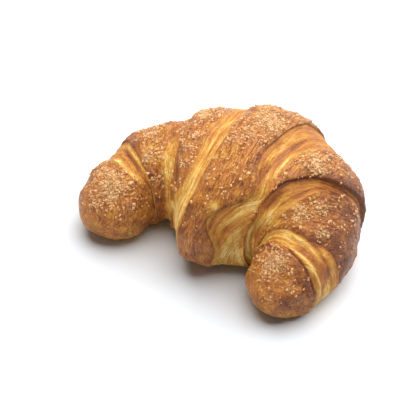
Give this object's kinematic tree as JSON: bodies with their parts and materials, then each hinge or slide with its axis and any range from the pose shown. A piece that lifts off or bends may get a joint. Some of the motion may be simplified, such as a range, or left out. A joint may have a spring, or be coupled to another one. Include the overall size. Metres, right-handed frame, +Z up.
{
  "type": "croissant",
  "caption": "Sugared breakfast croissant: a thick crescent of rolled layered dough with blunt horns, open layers beside each wrap and coarse sugar on the crust",
  "frame": {"origin": "centre of the footprint's bounding box, at the level the underside rests on", "axes": "+X along the longest extent, from the left horn side to the right horn side as seen from the open side; the horns point to -Y and the back of the crescent faces +Y; +Z up"},
  "size_m": [0.1422, 0.1066, 0.0645],
  "materials": {
    "crust": "golden-brown baked crust with pale open layers and clear coarse sugar, slightly satin"
  },
  "bodies": {
    "root": {"croissant": "crust"}
  },
  "joints": []
}
